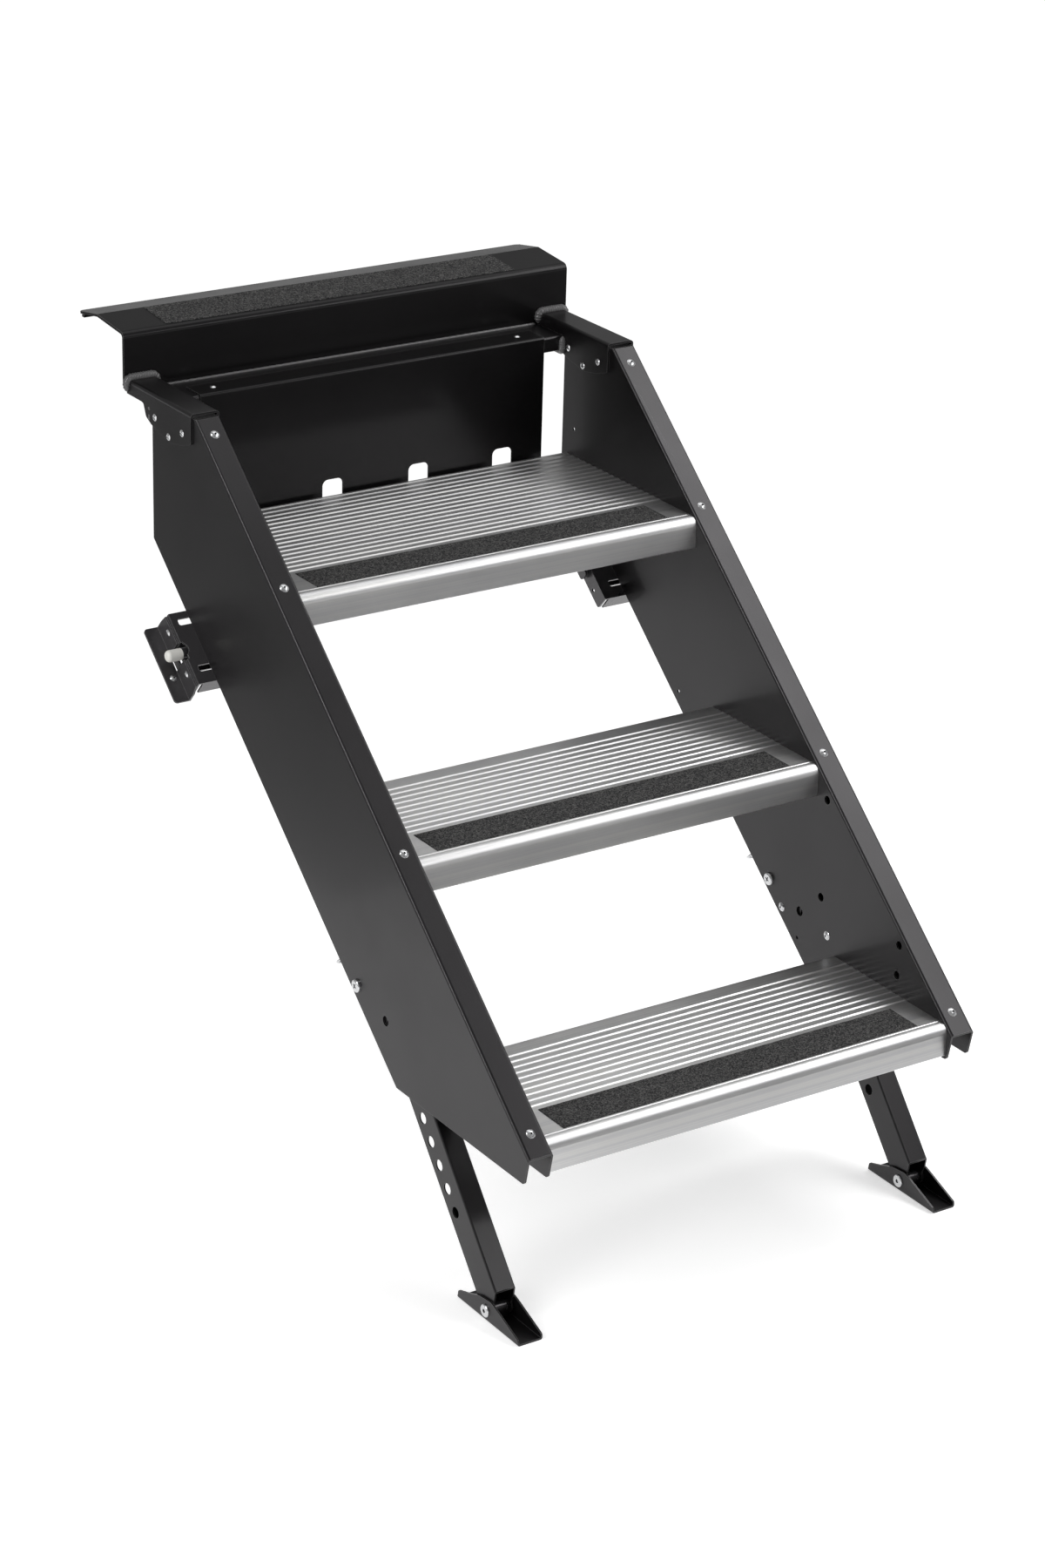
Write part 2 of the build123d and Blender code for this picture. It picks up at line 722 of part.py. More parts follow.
def make_cleats():
    """Angle cleats under both ends of each tread, riveted to the inner webs."""
    pieces = []
    for nose_y, nose_z in tread_noses:
        under = nose_z - rib_height - tread_wall
        low_y, high_y = (nose_y + setback for setback in cleat_setbacks)
        angle = box_between((inner_web_x - cleat_leg, low_y, under - cleat_leg), (inner_web_x, high_y, under))
        angle -= box_between((inner_web_x - cleat_leg - 1, low_y - 1, under - cleat_leg - 1),
                             (inner_web_x - cleat_sheet, high_y + 1, under - cleat_sheet))
        for setback in cleat_rivet_setbacks:
            spot = (nose_y + setback, nose_z - cleat_rivet_drop)
            angle -= rod((inner_web_x - 10, *spot), (channel_x, *spot), small_rivet_radius)
        pieces += [angle, mirrored(angle)]
    return grouped(pieces)


def make_cleat_rivets():
    """Rivets from the cleats into the inner webs."""
    pieces = []
    for nose_y, nose_z in tread_noses:
        for setback in cleat_rivet_setbacks:
            seat = (inner_web_x - cleat_sheet, nose_y + setback, nose_z - cleat_rivet_drop)
            rivet = blind_rivet(seat, (-1, 0, 0), small_rivet_head, small_rivet_height, small_rivet_radius,
                                cleat_sheet + rail_sheet + 1)
            pieces += [rivet, mirrored(rivet)]
    return grouped(pieces)


# Fasteners

def make_flange_rivets():
    """Rivets down the middle of each rail's front flange."""
    pieces = []
    outward = (0, -slope_behind[0], -slope_behind[1])
    for drop in flange_rivet_drops:
        rivet = blind_rivet(flange_rivet_seat(drop), outward, rivet_head_radius, rivet_head_height,
                            rivet_radius, rail_sheet + 2.5)
        pieces += [rivet, mirrored(rivet)]
    return grouped(pieces)


def make_arm_rivets():
    """Rivets through both side walls of each arm into the rail webs."""
    pieces = []
    half = arm_width / 2
    for y, z in arm_rivet_spots:
        for side in (-1, 1):
            seat = (channel_x + side * half, y, z)
            rivet = blind_rivet(seat, (side, 0, 0), small_rivet_head, small_rivet_height, small_rivet_radius,
                                arm_sheet + rail_sheet + 1)
            pieces += [rivet, mirrored(rivet)]
    return grouped(pieces)


def make_panel_rivets():
    """Rivets through the kick panel's fold into the crossbar."""
    pieces = []
    for side in (-1, 1):
        seat = (side * panel_rivet_x, panel_rivet_y, crossbar_top_z + panel_sheet)
        pieces.append(blind_rivet(seat, (0, 0, 1), small_rivet_head, small_rivet_height, small_rivet_radius,
                                  panel_sheet + crossbar_wall + 1))
    return grouped(pieces)


def make_web_rivets():
    """Rivets on the inner webs that hold the leg guides and the front stop."""
    pieces = []
    for y, z in web_rivet_spots:
        rivet = blind_rivet((inner_web_x, y, z), (-1, 0, 0), rivet_head_radius, rivet_head_height,
                            rivet_radius, rail_sheet + guide_sheet + 1)
        pieces += [rivet, mirrored(rivet)]
    return grouped(pieces)


def make_guide_screws():
    """Pan-head screws, one from each side, that hold the leg guides between the webs."""
    pieces = []
    y, z = guide_screw_spot
    for x, side in ((inner_web_x, -1), (half_width, 1)):
        head = rod((x, y, z), (x + side * screw_head_height, y, z), screw_head_radius)
        rim = head.edges().sort_by(Axis.X)[-1 if side > 0 else 0]
        head = fillet(rim, screw_head_height * 0.6)
        for angle in (0, 90):
            slot = Box(screw_head_height, screw_slot_length, screw_slot_width)
            head -= Pos(x + side * screw_head_height, y, z) * Rot(angle + 25, 0, 0) * slot
        head += rod((x + side * 0.5, y, z), (x - side * (rail_sheet + guide_sheet + 1.5), y, z), screw_radius)
        pieces += [head, mirrored(head)]
    return grouped(pieces)


# Legs, feet and leg guides

def leg_prism(corners, low_x, high_x):
    """Extrusion along X of an outline drawn down and across the leg."""
    return prism([(*on_leg(corner[0], corner[1]), *corner[2:]) for corner in corners], low_x, high_x)


leg_half = rail_width / 2 - rail_sheet - leg_side_gap
foot_pin_y, foot_pin_z = on_leg(leg_pin_along, leg_pin_across)


def make_leg():
    """The right leg: a punched rectangular tube whose side walls run on to the foot's pin."""
    radius = leg_cheek_radius
    top = -leg_inside_length
    outer = leg_prism([(top, 0), (leg_pin_along, 0), (leg_pin_along, leg_depth), (top, leg_depth)],
                      channel_x - leg_half, channel_x + leg_half)
    long_edges = [e for e in outer.edges() if e.length > leg_pin_along]
    outer = fillet(long_edges, leg_corner)
    wall = leg_wall
    inner = leg_prism([(top - 1, wall), (leg_pin_along + 1, wall), (leg_pin_along + 1, leg_depth - wall),
                       (top - 1, leg_depth - wall)], channel_x - leg_half + wall, channel_x + leg_half - wall)
    tube = outer - inner
    beyond = leg_pin_along + 20
    low_x, high_x = channel_x - rail_width, channel_x + rail_width
    tube -= leg_prism([(leg_front_end, leg_depth + 5), (leg_front_end, leg_depth),
                       (leg_front_end + leg_front_cut_drop, leg_depth - leg_front_cut_depth),
                       (leg_pin_along, leg_pin_across + radius), (beyond, leg_pin_across + radius),
                       (beyond, leg_depth + 5)], low_x, high_x)
    tube -= leg_prism([(leg_pin_along - leg_back_cut, -5), (leg_pin_along - leg_back_cut, 0),
                       (leg_pin_along, leg_pin_across - radius), (beyond, leg_pin_across - radius),
                       (beyond, -5)], low_x, high_x)
    pin_y, pin_z = foot_pin_y, foot_pin_z
    for side in (-1, 1):
        low = channel_x + side * (leg_half - wall / 2) - wall / 2
        tube += rod((low, pin_y, pin_z), (low + wall, pin_y, pin_z), radius)
    tube -= rod((low_x, pin_y, pin_z), (high_x, pin_y, pin_z), foot_pin_radius + foot_pin_clearance)
    for index in range(leg_hole_count):
        along = leg_first_hole + (leg_holes_below - 1 - index) * leg_hole_pitch
        spot = on_leg(along, leg_hole_across)
        tube -= rod((low_x, *spot), (high_x, *spot), leg_hole_radius)
    for index in range(lock_hole_count):
        behind = -plunger_along + index * leg_hole_pitch
        near, far = on_leg(behind, -3), on_leg(behind, leg_wall + 3)
        tube -= rod((channel_x, *near), (channel_x, *far), plunger_radius + 1)
    slot_middle = on_leg((leg_slot_start + leg_slot_end) / 2, -1)
    slot_plane = Plane(origin=(channel_x, *slot_middle), x_dir=(0, *leg_down), z_dir=(0, *leg_front))
    slot = SlotOverall(leg_slot_end - leg_slot_start, leg_slot_width)
    return tube - extrude(slot_plane * slot, leg_wall + 2)


def make_foot():
    """The right foot: a shoe pressed from sheet, with an ear on each side for the pin."""
    rear = foot_pin_y + foot_rear
    front = foot_pin_y - foot_front
    ear = [(rear, ground_z), (rear - 2, ground_z + foot_tip_height, 3),
           (foot_pin_y + foot_heel_reach, ground_z + foot_heel_height, 12),
           (foot_pin_y + foot_ear_reach, ground_z + foot_ear_height, 8),
           (foot_pin_y - foot_crown_reach, ground_z + foot_crown_height, 8),
           (foot_pin_y - foot_brow_reach, ground_z + foot_brow_height, 8),
           (front + 0.5, ground_z + foot_toe_height, 3.5), (front, ground_z)]
    half = foot_width / 2
    foot = prism(ear, channel_x - half, channel_x + half)
    bottom_edges = [e for e in foot.edges() if e.length > foot_front and e.center().Z < ground_z + 0.1]
    foot = fillet(bottom_edges, foot_sheet + 1)
    hollow = box_between((channel_x - half + foot_sheet, front - 5, ground_z + foot_sheet),
                         (channel_x + half - foot_sheet, rear + 5, ground_z + 2 * foot_crown_height))
    foot -= hollow
    low_end, high_end = ((channel_x + side * foot_width, foot_pin_y, foot_pin_z) for side in (-1, 1))
    return foot - rod(low_end, high_end, foot_pin_radius)


def make_foot_pin():
    """Cross pin of the right foot: a hollow head at each end, and a nut inside each wall of the leg."""
    half = foot_width / 2
    nut_face = leg_half - leg_wall - foot_nut_gap
    y, z = foot_pin_y, foot_pin_z
    pin = rod((channel_x - half, y, z), (channel_x + half, y, z), foot_pin_radius)
    for side in (-1, 1):
        head = rod((channel_x + side * half, y, z), (channel_x + side * (half + foot_pin_head_height), y, z),
                   foot_pin_head_radius)
        rim = head.edges().sort_by(Axis.X)[-1 if side > 0 else 0]
        head = chamfer(rim, foot_pin_head_height * 0.4)
        pin += head
        pin -= rod((channel_x + side * (half + foot_pin_head_height / 2), y, z),
                   (channel_x + side * (half + 2 * foot_pin_head_height), y, z), foot_pin_hollow)
        nut_plane = Plane(origin=(channel_x + side * nut_face, y, z), z_dir=(-side, 0, 0))
        pin += extrude(nut_plane * RegularPolygon(foot_nut_radius, 6), foot_nut_thickness)
    return pin


def make_foot_spacer():
    """Black sleeve on the right foot's pin, between the two nuts."""
    half = leg_half - leg_wall - foot_nut_gap - foot_nut_thickness
    ends = (channel_x - half, foot_pin_y, foot_pin_z), (channel_x + half, foot_pin_y, foot_pin_z)
    return rod(*ends, spacer_radius) - rod(*ends, foot_pin_radius)


guide_half = rail_width / 2 - rail_sheet - guide_side_gap


def make_guide():
    """Bent bracket behind the right leg, between the webs, that keeps the leg in line."""
    base_front = -guide_gap
    base_back = base_front - guide_sheet
    side = [(-guide_high_along, base_front), (-guide_low_along, base_front),
            (-guide_low_along, guide_back_across + guide_low_rise),
            (-guide_low_along - guide_low_rise, guide_back_across),
            (-guide_high_along + guide_high_rise, guide_back_across),
            (-guide_high_along, base_back - guide_high_step)]
    guide = leg_prism(side, channel_x - guide_half, channel_x + guide_half)
    guide &= prism(rail_outline(), channel_x - rail_width, channel_x + rail_width)
    inner = guide_half - guide_sheet
    hollow = [(-guide_high_along - 5, base_back), (-guide_low_along + 5, base_back),
              (-guide_low_along + 5, guide_back_across - 5), (-guide_high_along - 5, guide_back_across - 5)]
    guide -= leg_prism(hollow, channel_x - inner, channel_x + inner)
    guide -= rod((inner_web_x - 5, *guide_screw_spot), (half_width + 5, *guide_screw_spot), screw_radius)
    guide -= rod((inner_web_x - 5, *web_rivet_spots[0]), (channel_x, *web_rivet_spots[0]), rivet_radius)
    hole_start = on_leg(-plunger_along, base_front + 1)
    hole_end = on_leg(-plunger_along, base_back - 1)
    return guide - rod((channel_x, *hole_start), (channel_x, *hole_end), plunger_radius + plunger_clearance)


def make_barrel():
    """Threaded barrel on the guide's back, in which the right plunger runs."""
    base_back = -guide_gap - guide_sheet
    start = (channel_x, *on_leg(-plunger_along, base_back))
    end = (channel_x, *on_leg(-plunger_along, base_back - barrel_length))
    return rod(start, end, barrel_radius) - rod(start, end, plunger_radius + plunger_clearance)


def plunger_point(across):
    """Point on the plunger's axis, measured in front of the leg's back face."""
    return (channel_x, *on_leg(-plunger_along, across))


plunger_end = -plunger_tip_gap - barrel_length - plunger_tail
plunger_eye = plunger_end + plunger_eye_inset


def make_plunger():
    """Spring plunger of the right leg lock, drawn just clear of the leg."""
    stop = -guide_gap - guide_sheet - barrel_length - plunger_stop_gap
    pin = rod(plunger_point(-plunger_tip_gap), plunger_point(plunger_end), plunger_radius)
    pin += rod(plunger_point(stop), plunger_point(stop - plunger_stop_length), plunger_stop_radius)
    y, z = on_leg(-plunger_along, plunger_eye)
    return pin - rod((inner_web_x, y, z), (half_width, y, z), ring_eye_radius)


def make_pull_ring():
    """Split ring through the plunger's eye, held out along the plunger."""
    plane = Plane(origin=plunger_point(plunger_eye - ring_radius), x_dir=(1, 0, 0), z_dir=(0, *leg_down))
    return plane.location * Torus(ring_radius, ring_wire)


# Door latches

latch_outer_x = half_width + latch_outboard
latch_inner_x = half_width - latch_inboard


def latch_prism(corners, low_x, high_x):
    """Extrusion along X of an outline drawn down the rail's back and out behind it."""
    return prism([(*on_latch(corner[0], corner[1]), *corner[2:]) for corner in corners], low_x, high_x)


def latch_wall_hole(shape, along, depth, radius):
    """Cut one round hole along X through both walls of a latch piece."""
    spot = on_latch(along, depth)
    low_x, high_x = latch_inner_x - latch_cut_reach, latch_outer_x + latch_cut_reach
    return shape - rod((low_x, *spot), (high_x, *spot), radius)


def make_latch_bracket():
    """The right latch bracket: a shallow tray across the back of the rail."""
    high, low = latch_high_along, latch_low_along
    sheet = latch_sheet
    tray = latch_prism([(high, 0), (low, 0), (low, sheet), (high, sheet)], latch_inner_x, latch_outer_x)
    tray += latch_prism([(high, 0), (low, 0), (low, latch_outer_depth), (high, latch_outer_depth)],
                        latch_outer_x - sheet, latch_outer_x)
    tray += latch_prism([(high, 0), (low, 0), (low, latch_inner_depth, latch_corner),
                         (high, latch_inner_depth, latch_corner)], latch_inner_x, latch_inner_x + sheet)
    tray += latch_prism([(low - sheet, 0), (low, 0), (low, latch_foot_depth),
                         (low - sheet, latch_foot_depth)],
                        latch_inner_x + latch_foot_inset, latch_outer_x - latch_foot_inset)
    tab = latch_inner_depth
    tray += latch_prism([(latch_tab_high, tab - sheet), (latch_tab_low, tab - sheet), (latch_tab_low, tab),
                         (latch_tab_high, tab)], latch_inner_x + sheet / 2, latch_outer_x - latch_tab_gap)
    guide_x = latch_outer_x - bolt_guide_inset
    web_high, web_low = bolt_along - bolt_guide_reach, bolt_along + bolt_guide_reach
    guide = latch_prism([(web_high, sheet / 2), (web_low, sheet / 2), (web_low, tab - sheet / 2),
                         (web_high, tab - sheet / 2)], guide_x - sheet, guide_x)
    for along in latch_slot_alongs:
        middle_x = half_width + latch_slot_start - latch_slot_length / 2
        plane = Plane(origin=(middle_x, *on_latch(along, -1)), x_dir=(1, 0, 0), z_dir=(0, *slope_behind))
        slot = RectangleRounded(latch_slot_length, latch_slot_height, latch_slot_corner)
        tray -= extrude(plane * slot, sheet + 2)
    tray -= latch_prism([(bolt_along - bolt_window_above, -1), (bolt_along + bolt_window_below, -1),
                         (bolt_along + bolt_window_below, bolt_window_depth, bolt_radius),
                         (bolt_along - bolt_window_above, bolt_window_depth, bolt_radius)],
                        latch_outer_x - sheet - 0.5, latch_outer_x + 1)
    notch_x = latch_outer_x + bolt_notch_overhang
    notch_ends = [(notch_x, *on_latch(bolt_along, depth)) for depth in (-1, sheet + 1)]
    tray -= rod(*notch_ends, bolt_notch_radius)
    tray += guide
    bolt_spot = on_latch(bolt_along, bolt_depth)
    tray -= rod((latch_inner_x - 5, *bolt_spot), (channel_x, *bolt_spot), stem_radius + bolt_clearance)
    tray -= rod((guide_x - sheet - 1, *bolt_spot), (guide_x + 1, *bolt_spot), bolt_radius + bolt_clearance)
    for along in latch_rivet_alongs:
        spot = on_latch(along, latch_rivet_depth)
        tray -= rod((channel_x, *spot), (latch_outer_x + 5, *spot), small_rivet_radius)
    spot = on_latch(latch_rivet_alongs[1], latch_rivet_depth)
    return tray - rod((latch_inner_x - 5, *spot), (latch_inner_x + sheet + 2, *spot), latch_spare_hole)


def make_catch_plate():
    """Angle riveted to the right latch bracket, turned outboard beside the bolt."""
    high, low = catch_high_along, catch_low_along
    sheet = latch_sheet
    plate = latch_prism([(high, catch_start_depth + 12), (latch_high_along, catch_start_depth),
                         (latch_low_along, catch_start_depth), (low, catch_start_depth + 12),
                         (low, latch_outer_depth), (high, latch_outer_depth)],
                        latch_outer_x, latch_outer_x + sheet)
    wing_plane = Plane(origin=(latch_outer_x, *on_latch((high + low) / 2, latch_outer_depth - sheet)),
                       x_dir=(1, 0, 0), z_dir=(0, *slope_behind))
    wing = extrude(wing_plane * Pos(catch_reach / 2, 0) * Rectangle(catch_reach, low - high), sheet)
    tips = [e for e in wing.edges() if abs(e.length - sheet) < 0.01 and e.center().X > latch_outer_x + 1]
    plate += fillet(tips, catch_corner)
    plate -= latch_prism([(bolt_along - catch_window_above, -1), (bolt_along + catch_window_below, -1),
                          (bolt_along + catch_window_below, latch_outer_depth + 1),
                          (bolt_along - catch_window_above, latch_outer_depth + 1)],
                         latch_outer_x - 1, latch_outer_x + sheet)
    for along in latch_rivet_alongs:
        plate = latch_wall_hole(plate, along, latch_rivet_depth, small_rivet_radius)
    seat, way = wing_rivet_place()
    return plate - rod(seat, tuple(Vector(*seat) - Vector(*way) * (sheet + 2)), small_rivet_radius)


def wing_rivet_place():
    """Seat and direction of the small rivet on the right catch plate's turned-out wing."""
    seat = (latch_outer_x + wing_rivet_reach, *on_latch(wing_rivet_along, latch_outer_depth - latch_sheet))
    return seat, (0, -slope_behind[0], -slope_behind[1])


def make_latch_rivets():
    """Rivets that hold each catch plate to its bracket, and one on its wing."""
    rivet = blind_rivet(*wing_rivet_place(), small_rivet_head, small_rivet_height, small_rivet_radius,
                        latch_sheet + 1)
    pieces = [rivet, mirrored(rivet)]
    for along in latch_rivet_alongs:
        seat = (latch_outer_x + latch_sheet, *on_latch(along, latch_rivet_depth))
        rivet = blind_rivet(seat, (1, 0, 0), small_rivet_head, small_rivet_height, small_rivet_radius,
                            2 * latch_sheet + 1)
        pieces += [rivet, mirrored(rivet)]
    return grouped(pieces)


bolt_tip_x = latch_outer_x + bolt_reach
bolt_seat_x = latch_outer_x - bolt_seat
shoulder_x = bolt_seat_x - carrier_length
spring_seat_x = latch_inner_x + latch_sheet


def make_latch_bolt():
    """The right latch bolt's nylon nose, rounded at its tip."""
    y, z = on_latch(bolt_along, bolt_depth)
    nose = rod((bolt_seat_x, y, z), (bolt_tip_x, y, z), bolt_radius)
    return fillet(nose.edges().sort_by(Axis.X)[-1], bolt_nose_radius)


def make_latch_pull():
    """Steel carrier behind the right bolt's nose, with its stem and the flat pull on the inner end."""
    y, z = on_latch(bolt_along, bolt_depth)
    half = pull_width / 2
    high = bolt_along + half - pull_length
    low = bolt_along + half
    front = bolt_depth - half
    back = bolt_depth + half
    end_x = latch_inner_x - pull_gap
    pull = latch_prism([(high, front, pull_corner), (low, front, pull_corner), (low, back, pull_corner),
                        (high, back, pull_corner)], end_x - pull_thickness, end_x)
    pull += rod((end_x - pull_thickness / 2, y, z), (shoulder_x + 1, y, z), stem_radius)
    return pull + rod((shoulder_x, y, z), (bolt_seat_x, y, z), bolt_radius)


def make_latch_spring():
    """Coil spring round the stem, between the bolt's shoulder and the tray's inner wall."""
    y, z = on_latch(bolt_along, bolt_depth)
    low = spring_seat_x + spring_wire + 0.1
    length = shoulder_x - spring_seat_x - 2 * spring_wire - 0.2
    pitch = length / spring_turns
    path = Helix(pitch, length, spring_radius)
    start = path @ 0
    section = Plane(origin=start, z_dir=path % 0) * Circle(spring_wire)
    coil = sweep(section, path=path, is_frenet=True)
    return Location((low, y, z), (0, 90, 0)) * coil


# Building and writing every node

top_y, top_z = tread_noses[0]
nodes = {
    "floor_hinge_leaf": make_floor_leaf(),
    "hinge_pin": make_hinge_pin(),
    "moving_hinge_leaf": make_moving_leaf(),
    "lip_packing_strip": make_lip_packing(),
    "threshold_plate": make_threshold(),
    "threshold_grip": make_threshold_grip(),
    "crossbar": make_crossbar(),
    "kick_panel": make_kick_panel(),
    "top_tread": make_tread(top_y, top_z, top_tread_depth, top_rib_margin),
    "tread_cleats": make_cleats(),
    "tread_cleat_rivets": make_cleat_rivets(),
    "flange_rivets": make_flange_rivets(),
    "arm_rivets": make_arm_rivets(),
    "kick_panel_rivets": make_panel_rivets(),
    "web_rivets": make_web_rivets(),
    "leg_guide_screws": make_guide_screws(),
    "latch_rivets": make_latch_rivets(),
}
for name, (y, z) in zip(("middle_tread", "bottom_tread"), tread_noses[1:]):
    nodes[name] = make_tread(y, z, lower_tread_depth, lower_rib_margin)
for name, (y, z) in zip(("top", "middle", "bottom"), tread_noses):
    nodes[name + "_tread_grip"] = make_grip(y, z)
paired = {
    "rail": make_rail(),
    "arm": make_arm(),
    "leg": make_leg(),
    "foot": make_foot(),
    "foot_pin": make_foot_pin(),
    "foot_spacer": make_foot_spacer(),
    "leg_guide": make_guide(),
    "lock_barrel": make_barrel(),
    "lock_plunger": make_plunger(),
    "lock_pull_ring": make_pull_ring(),
    "latch_bracket": make_latch_bracket(),
    "catch_plate": make_catch_plate(),
    "latch_bolt": make_latch_bolt(),
    "latch_pull": make_latch_pull(),
    "latch_spring": make_latch_spring(),
}
for name, shape in paired.items():
    nodes["right_" + name] = shape
    nodes["left_" + name] = mirrored(shape)
arm_weld = make_arm_weld()
bar_weld = make_bar_weld()
nodes["arm_welds"] = grouped([arm_weld, mirrored(arm_weld), bar_weld, mirrored(bar_weld)])

for name, shape in nodes.items():
    export_step(shape, f"parts/{name}.step")
print(len(nodes), "nodes")
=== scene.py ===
"""Camper entry step, dressed for its render in the part's own frame.

Lengths are in metres, and in millimetres where a comment says so.
"""
import bpy
import bmesh
import json
import math
import random
from mathutils import Matrix, Vector


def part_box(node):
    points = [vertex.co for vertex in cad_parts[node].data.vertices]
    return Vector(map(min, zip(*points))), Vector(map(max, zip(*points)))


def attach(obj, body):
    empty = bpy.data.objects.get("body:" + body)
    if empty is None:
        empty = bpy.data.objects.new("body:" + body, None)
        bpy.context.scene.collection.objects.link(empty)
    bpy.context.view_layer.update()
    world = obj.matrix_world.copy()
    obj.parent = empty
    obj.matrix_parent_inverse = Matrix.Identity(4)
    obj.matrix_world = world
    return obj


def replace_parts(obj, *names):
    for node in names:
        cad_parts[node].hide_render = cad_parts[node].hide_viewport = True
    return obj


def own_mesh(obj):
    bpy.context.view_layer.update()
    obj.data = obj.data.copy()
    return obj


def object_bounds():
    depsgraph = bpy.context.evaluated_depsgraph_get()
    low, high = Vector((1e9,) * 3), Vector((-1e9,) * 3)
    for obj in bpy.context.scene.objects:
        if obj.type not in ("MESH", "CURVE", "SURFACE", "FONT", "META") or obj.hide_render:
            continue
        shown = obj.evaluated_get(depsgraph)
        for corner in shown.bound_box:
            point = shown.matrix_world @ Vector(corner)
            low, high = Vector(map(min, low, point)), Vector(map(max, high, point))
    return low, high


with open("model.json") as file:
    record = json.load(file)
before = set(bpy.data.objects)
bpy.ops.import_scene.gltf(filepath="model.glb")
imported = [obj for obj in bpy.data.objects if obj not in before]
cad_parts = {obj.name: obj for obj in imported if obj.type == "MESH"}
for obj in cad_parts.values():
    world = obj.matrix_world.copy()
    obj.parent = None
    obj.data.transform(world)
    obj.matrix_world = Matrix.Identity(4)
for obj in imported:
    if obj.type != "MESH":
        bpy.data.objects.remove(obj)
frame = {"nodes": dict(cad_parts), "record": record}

cad_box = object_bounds()
nodes = frame["nodes"]
scene = bpy.context.scene
random.seed(7)
mm = 0.001
sides = (-1, 1)


def side_name(side):
    """Name of the step's left (-1) or right (1) side."""
    return "right" if side > 0 else "left"


def box_corners(node):
    """Low and high corner of a CAD node's box."""
    return [Vector(corner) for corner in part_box(node)]


def box_corners_mm(node):
    """Low and high corner of a CAD node's box, in millimetres."""
    return [corner / mm for corner in box_corners(node)]


# Camera, solved from the photograph: 1200 by 1800 pixels

image_width = 1200
image_height = 1800
focal_px = 4578.35
centre_px = (612.19, 924.23)
camera_place = Vector((-2.2074, -3.7217, 1.2570))
camera_yaw = math.radians(34.10)
camera_pitch = math.radians(23.47)
camera_roll = math.radians(1.68)
sensor_mm = 36


def make_camera():
    """Camera with the photograph's place, turn and framing."""
    forward = Vector((math.sin(camera_yaw) * math.cos(camera_pitch),
                      math.cos(camera_yaw) * math.cos(camera_pitch), -math.sin(camera_pitch)))
    right = Vector((math.cos(camera_yaw), -math.sin(camera_yaw), 0))
    up = right.cross(forward)
    across = right * math.cos(camera_roll) + up * math.sin(camera_roll)
    above = up * math.cos(camera_roll) - right * math.sin(camera_roll)
    data = bpy.data.cameras.new("camera")
    data.sensor_fit = "VERTICAL"
    data.sensor_height = sensor_mm
    data.lens = focal_px / image_height * sensor_mm
    data.shift_x = (image_width / 2 - centre_px[0]) / image_height
    data.shift_y = (centre_px[1] - image_height / 2) / image_height
    data.clip_end = 50
    camera = bpy.data.objects.new("camera", data)
    turn = Matrix((across, above, -forward)).transposed().to_4x4()
    camera.matrix_world = Matrix.Translation(camera_place) @ turn
    scene.collection.objects.link(camera)
    scene.camera = camera


make_camera()


# Shader nodes

def new_material(name):
    """Empty node material: its tree and Principled shader."""
    material = bpy.data.materials.new(name)
    material.use_nodes = True
    tree = material.node_tree
    return material, tree, tree.nodes["Principled BSDF"]


def coordinates(tree, stretch=(1, 1, 1)):
    """Object coordinates, stretched along each axis."""
    place = tree.nodes.new("ShaderNodeTexCoord")
    mapping = tree.nodes.new("ShaderNodeMapping")
    mapping.inputs["Scale"].default_value = stretch
    tree.links.new(place.outputs["Object"], mapping.inputs["Vector"])
    return mapping.outputs["Vector"]


def noise(tree, vector, scale, detail=2.0, roughness=0.5):
    """Noise texture's value."""
    node = tree.nodes.new("ShaderNodeTexNoise")
    node.inputs["Scale"].default_value = scale
    node.inputs["Detail"].default_value = detail
    node.inputs["Roughness"].default_value = roughness
    tree.links.new(vector, node.inputs["Vector"])
    return node.outputs["Fac"]


def spread(tree, value, low, high, from_low=0.3, from_high=0.7):
    """A value brought into a range."""
    node = tree.nodes.new("ShaderNodeMapRange")
    node.inputs["From Min"].default_value = from_low
    node.inputs["From Max"].default_value = from_high
    node.inputs["To Min"].default_value = low
    node.inputs["To Max"].default_value = high
    tree.links.new(value, node.inputs["Value"])
    return node.outputs["Result"]


def blend_colours(tree, share, first, second):
    """Blend of two colours by a share from 0 to 1. Each is three numbers or another node's output."""
    node = tree.nodes.new("ShaderNodeMix")
    node.data_type = "RGBA"
    for name, colour in (("A", first), ("B", second)):
        if isinstance(colour, tuple):
            node.inputs[name].default_value = (*colour, 1)
        else:
            tree.links.new(colour, node.inputs[name])
    tree.links.new(share, node.inputs["Factor"])
    return node.outputs["Result"]


def join_values(tree, operation, first, second):
    """Two values joined by one math operation."""
    node = tree.nodes.new("ShaderNodeMath")
    node.operation = operation
    tree.links.new(first, node.inputs[0])
    tree.links.new(second, node.inputs[1])
    return node.outputs["Value"]


def add_values(tree, first, second, share):
    """First value plus a share of the second."""
    node = tree.nodes.new("ShaderNodeMath")
    node.operation = "MULTIPLY_ADD"
    node.inputs[1].default_value = share
    tree.links.new(second, node.inputs[0])
    tree.links.new(first, node.inputs[2])
    return node.outputs["Value"]


def bump(tree, shader, height, strength, distance):
    """Bump from a height value."""
    node = tree.nodes.new("ShaderNodeBump")
    node.inputs["Strength"].default_value = strength
    node.inputs["Distance"].default_value = distance
    tree.links.new(height, node.inputs["Height"])
    tree.links.new(node.outputs["Normal"], shader.inputs["Normal"])


